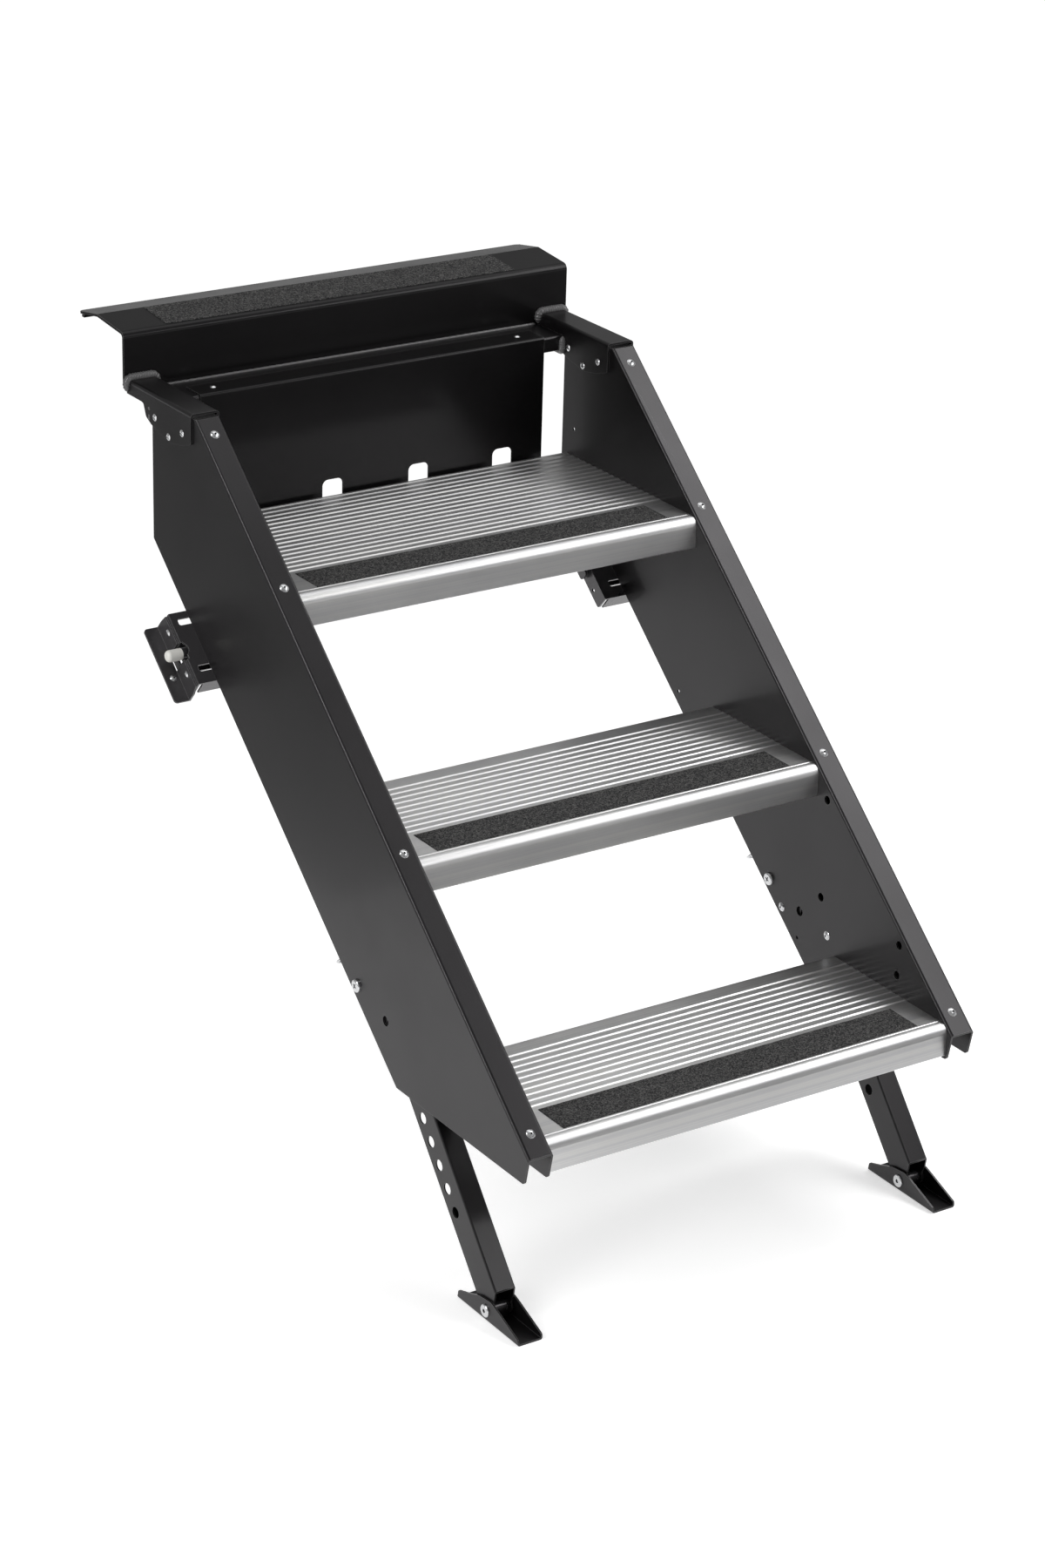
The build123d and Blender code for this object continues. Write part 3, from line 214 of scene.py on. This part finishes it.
def edge_share(tree, width):
    """1 on edges and 0 on faces, from the edge's rounded normal."""
    rounded = tree.nodes.new("ShaderNodeBevel")
    rounded.samples = 4
    rounded.inputs["Radius"].default_value = width
    flat = tree.nodes.new("ShaderNodeNewGeometry")
    same = tree.nodes.new("ShaderNodeVectorMath")
    same.operation = "DOT_PRODUCT"
    tree.links.new(rounded.outputs["Normal"], same.inputs[0])
    tree.links.new(flat.outputs["Normal"], same.inputs[1])
    return spread(tree, same.outputs["Value"], 1, 0, 0.90, 0.995)


def hollow_shade_share(tree, reach, low, high):
    """0 deep in grooves and hollows, 1 in the open: the share for painted shade."""
    node = tree.nodes.new("ShaderNodeAmbientOcclusion")
    node.samples = 8
    node.only_local = True
    node.inputs["Distance"].default_value = reach
    return spread(tree, node.outputs["AO"], 0, 1, low, high)


# Materials

coat_gloss = 0.32
# Weaker reflection for a shaded copy of the black coat on the threshold plate and kick panel: painted
# shade.
plate_gloss = 0.11
bracket_gloss = 0.75
coat_tint = (1.0, 0.955, 1.0, 1.0)
coat_dark = (0.0030, 0.0028, 0.0030)
coat_light = (0.0060, 0.0056, 0.0058)
# Lighter copy of the black coat for the brackets, catch plates, pulls and foot spacers: painted sheen.
lit_bracket_dark = (0.018, 0.018, 0.019)
lit_bracket_light = (0.034, 0.033, 0.034)
# Grey colours for the black-coated weld beads: painted sheen.
weld_sheen_dark = (0.085, 0.084, 0.085)
weld_sheen_light = (0.15, 0.149, 0.15)
skin_weight = 0.22
skin_rough = 0.14
edge_width = 0.7 * mm
# Colour in the aluminium's grooves between the ribs: painted shade.
groove_shade_colour = (0.35, 0.35, 0.355)
# Colour in the hollows of the zinc heads: painted shade.
recess_shade_colour = (0.03, 0.03, 0.032)


def powder_coat(name, dark, light, low_rough=0.32, high_rough=0.43, gloss=coat_gloss, edge_highlight_tone=0.15):
    """Satin black powder coat with its fine orange peel, a painted highlight along its edges and a thin
    smooth skin.
    """
    material, tree, shader = new_material(name)
    place = coordinates(tree)
    peel = noise(tree, place, 950, 2.5, 0.6)
    cloud = noise(tree, place, 7, 3, 0.55)
    speck = noise(tree, place, 2600, 1)
    tone = add_values(tree, spread(tree, cloud, 0, 0.7), spread(tree, speck, 0, 1, 0.55, 0.8), 0.3)
    edge = edge_share(tree, edge_width)
    # Edges are blended towards a pale tone: a painted highlight.
    colour = blend_colours(tree, edge, blend_colours(tree, tone, dark, light), (edge_highlight_tone,) * 3)
    tree.links.new(colour, shader.inputs["Base Color"])
    rough = add_values(tree, spread(tree, cloud, low_rough, high_rough), edge, -0.10)
    tree.links.new(rough, shader.inputs["Roughness"])
    shader.inputs["Specular IOR Level"].default_value = gloss
    shader.inputs["Specular Tint"].default_value = coat_tint
    shader.inputs["Coat Weight"].default_value = skin_weight
    shader.inputs["Coat Roughness"].default_value = skin_rough
    bump(tree, shader, peel, 0.35, 0.12 * mm)
    return material


def mill_aluminium():
    """Mill-finish extrusion: fine die lines along X, painted shade in the valleys between the ribs, faint
    stains.
    """
    material, tree, shader = new_material("mill_aluminium")
    lines = noise(tree, coordinates(tree, (0.25, 300, 300)), 2.2, 3, 0.5)
    fine = noise(tree, coordinates(tree, (3, 900, 900)), 2.4, 3, 0.6)
    stain = noise(tree, coordinates(tree, (1, 2.2, 2.2)), 6, 5, 0.62)
    bands = noise(tree, coordinates(tree, (0.12, 85, 85)), 1.6, 2, 0.5)
    tone = add_values(tree, spread(tree, lines, 0.25, 0.75), spread(tree, stain, -0.3, 0.3), 0.5)
    tone = add_values(tree, tone, spread(tree, bands, -0.6, 0.6), 0.4)
    metal = blend_colours(tree, tone, (0.58, 0.58, 0.595), (0.74, 0.735, 0.72))
    # Grooves and hollows are blended towards a grey: painted shade.
    shaded = blend_colours(tree, hollow_shade_share(tree, 4 * mm, 0.45, 0.85), groove_shade_colour, metal)
    tree.links.new(shaded, shader.inputs["Base Color"])
    rough = add_values(tree, spread(tree, stain, 0.37, 0.45), spread(tree, fine, -1, 1), 0.04)
    tree.links.new(rough, shader.inputs["Roughness"])
    shader.inputs["Metallic"].default_value = 1
    bump(tree, shader, add_values(tree, fine, lines, 0.6), 0.18, 0.06 * mm)
    return material


def grit():
    """Black mineral grit tape."""
    material, tree, shader = new_material("grit_strip")
    place = coordinates(tree)
    grain = tree.nodes.new("ShaderNodeTexVoronoi")
    grain.inputs["Scale"].default_value = 900
    tree.links.new(place, grain.inputs["Vector"])
    chance = tree.nodes.new("ShaderNodeSeparateColor")
    tree.links.new(grain.outputs["Color"], chance.inputs["Color"])
    tone = spread(tree, chance.outputs["Red"], 0, 1, 0.35, 1.0)
    colour = blend_colours(tree, tone, (0.008, 0.008, 0.009), (0.11, 0.108, 0.105))
    tree.links.new(colour, shader.inputs["Base Color"])
    tree.links.new(spread(tree, chance.outputs["Green"], 0.55, 0.95, 0, 1), shader.inputs["Roughness"])
    shader.inputs["Specular IOR Level"].default_value = 0.3
    height = add_values(tree, chance.outputs["Blue"], noise(tree, place, 700, 2), 0.7)
    bump(tree, shader, height, 0.9, 0.4 * mm)
    return material


def zinc():
    """Bright zinc plate, a little cloudy, with painted shade in the hollows of the heads."""
    material, tree, shader = new_material("zinc_steel")
    place = coordinates(tree)
    cloud = noise(tree, place, 420, 3, 0.6)
    plate = blend_colours(tree, spread(tree, cloud, 0, 1), (0.55, 0.56, 0.58), (0.80, 0.80, 0.80))
    # The hollows of the heads are blended towards near black: painted shade.
    shaded = blend_colours(tree, hollow_shade_share(tree, 3 * mm, 0.55, 0.9), recess_shade_colour, plate)
    tree.links.new(shaded, shader.inputs["Base Color"])
    tree.links.new(spread(tree, cloud, 0.16, 0.36), shader.inputs["Roughness"])
    shader.inputs["Metallic"].default_value = 1
    bump(tree, shader, noise(tree, place, 1900, 2), 0.2, 0.06 * mm)
    return material


def nylon():
    """White nylon, faintly mottled."""
    material, tree, shader = new_material("white_nylon")
    place = coordinates(tree)
    cloud = noise(tree, place, 160, 3, 0.6)
    colour = blend_colours(tree, spread(tree, cloud, 0, 1), (0.90, 0.885, 0.83), (0.95, 0.94, 0.90))
    tree.links.new(colour, shader.inputs["Base Color"])
    tree.links.new(spread(tree, cloud, 0.32, 0.48), shader.inputs["Roughness"])
    bump(tree, shader, noise(tree, place, 800, 2), 0.15, 0.1 * mm)
    return material


finishes = {
    "black_powder_coat": powder_coat("black_powder_coat", coat_dark, coat_light),
    "mill_aluminium": mill_aluminium(),
    "grit_strip": grit(),
    "zinc_steel": zinc(),
    "white_nylon": nylon(),
}
# Grey copy of the black coat for the weld beads: painted sheen.
weld_sheen_coat = powder_coat("weld_sheen_powder_coat", weld_sheen_dark, weld_sheen_light, low_rough=0.24, high_rough=0.36)
# Lighter, glossier copy of the black coat: painted sheen and glints on the brackets and foot spacers.
lit_bracket_coat = powder_coat("lit_bracket_powder_coat", lit_bracket_dark, lit_bracket_light, low_rough=0.22,
                             high_rough=0.34, gloss=bracket_gloss, edge_highlight_tone=0.30)
# Copy of the black coat with weaker reflection: painted shade on the threshold plate and kick panel.
shaded_plate_coat = powder_coat("shaded_plate_powder_coat", coat_dark, coat_light, gloss=plate_gloss)
# Parts that take the lit and shaded copies of the black coat.
lit_and_shaded_coats = {"threshold_plate": shaded_plate_coat, "kick_panel": shaded_plate_coat}
# The brackets, catch plates, pulls and foot spacers take the lighter copy: painted sheen and glint.
for side in sides:
    for part in ("latch_bracket", "catch_plate", "latch_pull", "foot_spacer"):
        lit_and_shaded_coats[f"{side_name(side)}_{part}"] = lit_bracket_coat
for entry in frame["record"]["subparts"]:
    name = entry["node"]
    for slot in nodes[name].material_slots:
        slot.link = "OBJECT"
        slot.material = lit_and_shaded_coats.get(name, finishes[entry["material_slot"]])


# Edges: every sheet, tube and moulding shows a fine rounded edge

def soften(name, width, angle=38):
    """Round the sharp edges of a CAD node, where light can catch them. The width is in millimetres."""
    modifier = nodes[name].modifiers.new("edge", "BEVEL")
    modifier.width = width * mm
    modifier.segments = 2
    modifier.limit_method = "ANGLE"
    modifier.angle_limit = math.radians(angle)
    modifier.use_clamp_overlap = True


edge_widths = {"rail": 0.5, "arm": 0.6, "leg": 0.4, "foot": 0.5, "latch_bracket": 0.8, "catch_plate": 0.8,
               "latch_bolt": 0.5, "latch_pull": 0.4, "leg_guide": 0.4}
for name, width in edge_widths.items():
    for side in sides:
        soften(f"{side_name(side)}_{name}", width)
for name in ("threshold_plate", "crossbar", "kick_panel"):
    soften(name, 0.5)
for name in ("top_tread", "middle_tread", "bottom_tread"):
    soften(name, 0.3, 24)


# Meshes made in the scene

def add_ring(mesh, centre, first_way, second_way, radius, count):
    """Closed ring of points round a centre."""
    turns = [2 * math.pi * index / count for index in range(count)]
    return [mesh.verts.new(centre + (first_way * math.cos(turn) + second_way * math.sin(turn)) * radius)
            for turn in turns]


def join_rings(mesh, rings):
    """Skin over closed rings of points, with a cap at each end."""
    for first, second in zip(rings, rings[1:]):
        for index in range(len(first)):
            after = (index + 1) % len(first)
            mesh.faces.new((first[index], first[after], second[after], second[index]))
    mesh.faces.new(list(reversed(rings[0])))
    mesh.faces.new(rings[-1])
    bmesh.ops.recalc_face_normals(mesh, faces=mesh.faces)


def make_piece(name, mesh, finish, smooth):
    """Finished piece that rides on the step."""
    data = bpy.data.meshes.new(name)
    mesh.to_mesh(data)
    mesh.free()
    for face in data.polygons:
        face.use_smooth = smooth
    data.materials.append(finish)
    piece = bpy.data.objects.new(name, data)
    scene.collection.objects.link(piece)
    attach(piece, "step")
    return piece


# Weld beads, in millimetres

arm_low, arm_high = box_corners_mm("right_arm")
bar_low, bar_high = box_corners_mm("crossbar")
rail_high = box_corners_mm("right_rail")[1]
channel_x = (arm_low.x + arm_high.x) / 2
arm_half_width = (arm_high.x - arm_low.x) / 2
threshold_face_y = arm_high.y
bead_ring_gap = 0.45
bead_ring_points = 16
bead_smoothing = 12
bead_jitter = 0.02
bead_trough = 0.90
bead_crest = 0.13
bead_end_share = 0.02
bead_bend = 5.2
arm_bead_rise = 0.9
arm_bead_side_rise = 0.6
arm_bead_front = 1.6
arm_bead_short_end = 1.5
bar_bead_sink = 1.2
bar_bead_rise = 0.8
rail_bead_drops = (0.5, 5.0, 10.0, 15.5, 21.0)
rail_bead_radii = (3.0, 3.7, 2.9, 3.7, 2.8)


def bead(name, path, radii, ripple=3.1):
    """Rippled weld bead along a path of points, with a radius at each."""
    points = [Vector(point) for point in path]
    lengths = [0.0]
    for first, second in zip(points, points[1:]):
        lengths.append(lengths[-1] + (second - first).length)
    total = lengths[-1]
    count = int(total / bead_ring_gap)
    centres = []
    ring_radii = []
    for index in range(count + 1):
        travel = total * index / count
        leg = max(i for i, value in enumerate(lengths) if value <= travel + 1e-9)
        leg = min(leg, len(points) - 2)
        share = (travel - lengths[leg]) / (lengths[leg + 1] - lengths[leg])
        centres.append(points[leg].lerp(points[leg + 1], share))
        radius = radii[leg] * (1 - share) + radii[leg + 1] * share
        wave = bead_trough + bead_crest * abs(math.sin(math.pi * travel / ripple))
        from_end = min(travel, total - travel) / radius
        ring_radii.append(radius * wave * min(1.0, math.sqrt(max(bead_end_share, from_end))))
    for _ in range(bead_smoothing):
        inner = [(a + b + c) / 3 for a, b, c in zip(centres, centres[1:], centres[2:])]
        centres = [centres[0]] + inner + [centres[-1]]
    mesh = bmesh.new()
    rings = []
    normal = None
    for index, (centre, radius) in enumerate(zip(centres, ring_radii)):
        ahead = centres[min(index + 1, count)] - centres[max(index - 1, 0)]
        ahead.normalize()
        if normal is None:
            normal = ahead.orthogonal().normalized()
        normal = (normal - ahead * normal.dot(ahead)).normalized()
        jitter = 1 + random.uniform(-bead_jitter, bead_jitter)
        rings.append(add_ring(mesh, centre * mm, normal, ahead.cross(normal), radius * jitter * mm,
                              bead_ring_points))
    join_rings(mesh, rings)
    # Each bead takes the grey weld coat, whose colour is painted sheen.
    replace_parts(make_piece(name, mesh, weld_sheen_coat, True), "arm_welds")


def corner_arc(centre_u, centre_v, start, end, steps=6):
    """Points of an arc in a plane, angles in degrees."""
    turns = [math.radians(start + (end - start) * index / steps) for index in range(steps + 1)]
    return [(centre_u + bead_bend * math.cos(turn), centre_v + bead_bend * math.sin(turn))
            for turn in turns]


def arm_bead(side):
    """Bead where an arm meets the threshold plate."""
    half = arm_half_width + arm_bead_side_rise
    bend_u = half - bead_bend
    bend_v = arm_high.z + arm_bead_rise - bead_bend
    flat = [(half, bar_high.z)] + corner_arc(bend_u, bend_v, 0, 90)
    flat += corner_arc(-bend_u, bend_v, 90, 180) + [(-half, bar_high.z + arm_bead_short_end)]
    path = [(side * (channel_x + u), threshold_face_y - arm_bead_front, v) for u, v in flat]
    radii = [3.4] + [5.0] * (len(flat) - 3) + [4.9, 4.7]
    bead(side_name(side) + "_arm_bead", path, radii)


def bar_bead(side):
    """Bead round the end of the crossbar, on the arm's inner wall."""
    x = side * (arm_low.x - bar_bead_sink)
    low = bar_low.z - bar_bead_rise
    front = bar_low.y - bar_bead_rise
    path = [(x, threshold_face_y - 4, low), (x, bar_low.y + 3, low), (x, front + 0.4, low + 1.0),
            (x, front, low + 3.5), (x, front, bar_high.z - 1)]
    bead(side_name(side) + "_bar_bead", path, [3.2, 3.6, 4.2, 4.6, 4.4], ripple=2.8)


def rail_bead(side):
    """Short lumpy bead between the rail's rear edge and the arm's outer wall."""
    x = side * (rail_high.x - 0.6)
    y = rail_high.y + 2.4
    path = [(x, y + 0.4 * (index % 2), bar_high.z - drop) for index, drop in enumerate(rail_bead_drops)]
    bead(side_name(side) + "_rail_bead", path, rail_bead_radii, ripple=3.6)


def seam_bead():
    """Fine bead along the crossbar's rear edge, against the threshold plate. Its light grey coat is a
    painted highlight along this seam.
    """
    ends = [(side * (arm_low.x - 4), threshold_face_y - 0.5, bar_high.z + 0.4) for side in sides]
    bead("crossbar_seam_bead", ends, [1.9, 1.9], ripple=9.0)


for side in sides:
    arm_bead(side)
    bar_bead(side)
    rail_bead(side)
seam_bead()


# Grit strips

grit_jag = 0.35 * mm
grit_inset = 0.7 * mm
grit_step = 2.2 * mm
grit_foot = 0.5 * mm
# The threshold plate's slope and its strip's place on it, in millimetres
threshold_ridge_y = -17.4
threshold_rise = 5.6
threshold_strip_shift = -5.6


def grit_strip(name, node, tilt=0.0, shift=0.0):
    """Strip with ragged cut edges, in the place of a CAD strip that slopes up to the rear by the tilt."""
    low, high = box_corners(node)
    centre = (low + high) / 2
    half = (high - low) / 2
    if tilt:
        half.y, half.z = ((half.y * math.cos(tilt) - half.z * math.sin(tilt)) / math.cos(2 * tilt),
                          (half.z * math.cos(tilt) - half.y * math.sin(tilt)) / math.cos(2 * tilt))
    width, depth = 2 * half.x, 2 * half.y
    across = int(width / grit_step)
    along = int(depth / grit_step)
    outline = [(width * i / across - half.x, -half.y) for i in range(across)]
    outline += [(half.x, depth * i / along - half.y) for i in range(along)]
    outline += [(half.x - width * i / across, half.y) for i in range(across)]
    outline += [(-half.x, half.y - depth * i / along) for i in range(along)]
    mesh = bmesh.new()
    rings = []
    for z, pull in ((-half.z, 0), (grit_foot - half.z, 0), (half.z, grit_inset)):
        ring = []
        for u, v in outline:
            if abs(u) > half.x - 1e-6:
                u -= math.copysign(pull + random.uniform(0, grit_jag), u)
            if abs(v) > half.y - 1e-6:
                v -= math.copysign(pull + random.uniform(0, grit_jag), v)
            ring.append(mesh.verts.new((u, v, z)))
        rings.append(ring)
    join_rings(mesh, rings)
    bmesh.ops.triangulate(mesh, faces=[face for face in mesh.faces if len(face.verts) > 4])
    mesh.transform(Matrix.Translation(centre + Vector((shift, 0, 0))) @ Matrix.Rotation(tilt, 4, "X"))
    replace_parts(make_piece(name, mesh, finishes["grit_strip"], False), node)


for place in ("top_tread", "middle_tread", "bottom_tread"):
    grit_strip(place + "_grit", place + "_grip")
grit_strip("threshold_grit", "threshold_grip",
           math.atan2(threshold_rise, threshold_ridge_y - threshold_face_y), threshold_strip_shift * mm)


# Latch springs, built as fixed coils; on the real step they shorten as their bolts are drawn back

spring_wire = 0.6 * mm
spring_turns = 11
spring_steps = 20
spring_wire_points = 8
along_x = Vector((1, 0, 0))


def latch_coil(side):
    """Coil spring of round wire along X, in the place of the CAD spring."""
    latch = side_name(side) + "_latch"
    low, high = box_corners(latch + "_spring")
    middle = (low + high) / 2
    length = high.x - low.x
    coil_radius = (high.z - low.z) / 2 - spring_wire
    count = spring_turns * spring_steps
    mesh = bmesh.new()
    rings = []
    for index in range(count + 1):
        turn = 2 * math.pi * index / spring_steps
        outward = Vector((0, math.cos(turn), math.sin(turn)))
        x = low.x + spring_wire + (length - 2 * spring_wire) * index / count
        centre = Vector((x, middle.y, middle.z)) + outward * coil_radius
        rings.append(add_ring(mesh, centre, outward, along_x, spring_wire, spring_wire_points))
    join_rings(mesh, rings)
    coil = make_piece(latch + "_coil", mesh, finishes["zinc_steel"], True)
    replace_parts(coil, latch + "_spring")
    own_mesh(coil)


for side in sides:
    latch_coil(side)


# Stage and light, in metres

floor_reach = 70
floor_shade = 0.82
floor_glow = (0.54, 0.80)
glow_distances = (1.3, 4.5)
card_lift = 0.002
world_strength = 0.30


def stage_sheet(name, corners, z, shade, roughness):
    """Level staged face through four corners: its object, tree and shader."""
    mesh = bpy.data.meshes.new(name)
    mesh.from_pydata([(x, y, z) for x, y in corners], [], [(0, 1, 2, 3)])
    sheet = bpy.data.objects.new(name, mesh)
    scene.collection.objects.link(sheet)
    material, tree, shader = new_material(name)
    shader.inputs["Base Color"].default_value = (shade, shade, shade, 1)
    shader.inputs["Roughness"].default_value = roughness
    mesh.materials.append(material)
    return sheet, tree, shader


def seen_rays(tree):
    """1 for camera, glossy and transmission rays, 0 for the rest."""
    path = tree.nodes.new("ShaderNodeLightPath")
    total = path.outputs["Is Camera Ray"]
    for name in ("Is Glossy Ray", "Is Transmission Ray"):
        total = join_values(tree, "MAXIMUM", total, path.outputs[name])
    return total


def make_floor():
    """Pale floor under the feet, that keeps the step's shadow and pales to white with distance."""
    reach = floor_reach
    corners = [(-reach, -reach), (reach, -reach), (reach, reach), (-reach, reach)]
    _, tree, shader = stage_sheet("floor", corners, cad_box[0][2], floor_shade, roughness=0.95)
    shader.inputs["Specular IOR Level"].default_value = 0
    place = tree.nodes.new("ShaderNodeTexCoord")
    away = tree.nodes.new("ShaderNodeVectorMath")
    away.operation = "LENGTH"
    tree.links.new(place.outputs["Object"], away.inputs[0])
    glow = spread(tree, away.outputs["Value"], *floor_glow, *glow_distances)
    lift = tree.nodes.new("ShaderNodeEmission")
    tree.links.new(join_values(tree, "MULTIPLY", seen_rays(tree), glow), lift.inputs["Strength"])
    both = tree.nodes.new("ShaderNodeAddShader")
    tree.links.new(shader.outputs["BSDF"], both.inputs[0])
    tree.links.new(lift.outputs["Emission"], both.inputs[1])
    tree.links.new(both.outputs["Shader"], tree.nodes["Material Output"].inputs["Surface"])


def make_card(name, low, high, shade):
    """Grey studio card, lying on the floor outside the picture, that only shows in reflections."""
    corners = [low, (high[0], low[1]), high, (low[0], high[1])]
    card, _, _ = stage_sheet(name, corners, cad_box[0][2] + card_lift, shade, roughness=0.9)
    card.visible_camera = False
    card.visible_diffuse = False
    card.visible_shadow = False


def make_world():
    """Plain pale surroundings."""
    world = bpy.data.worlds.new("studio")
    world.use_nodes = True
    background = world.node_tree.nodes["Background"]
    background.inputs["Color"].default_value = (1, 1, 1, 1)
    background.inputs["Strength"].default_value = world_strength
    scene.world = world


def softbox(name, place, target, size, power):
    """Rectangular area light aimed at a point."""
    data = bpy.data.lights.new(name, "AREA")
    data.shape = "RECTANGLE"
    data.size, data.size_y = size
    data.energy = power
    light = bpy.data.objects.new(name, data)
    light.location = place
    light.rotation_euler = (Vector(target) - Vector(place)).to_track_quat("-Z", "Y").to_euler()
    scene.collection.objects.link(light)


make_floor()
make_world()
make_card("front_card", low=(-0.05, -3.4), high=(2.6, -1.16), shade=0.12)
make_card("rear_card", low=(-2.8, 0.12), high=(-0.66, 3.0), shade=0.36)
softbox("overhead", place=(1.0, 0.1, 2.4), target=(1.0, 0.1, 0), size=(2.6, 2.0), power=18)
softbox("right_strip", place=(1.28, -1.55, 0.95), target=(1.28, -1.55, -1.0), size=(0.85, 2.5), power=30)
softbox("left_strip", place=(-2.4, -0.7, 1.3), target=(0, -0.5, -0.3), size=(0.4, 2.6), power=38)
scene.view_settings.view_transform = "Standard"
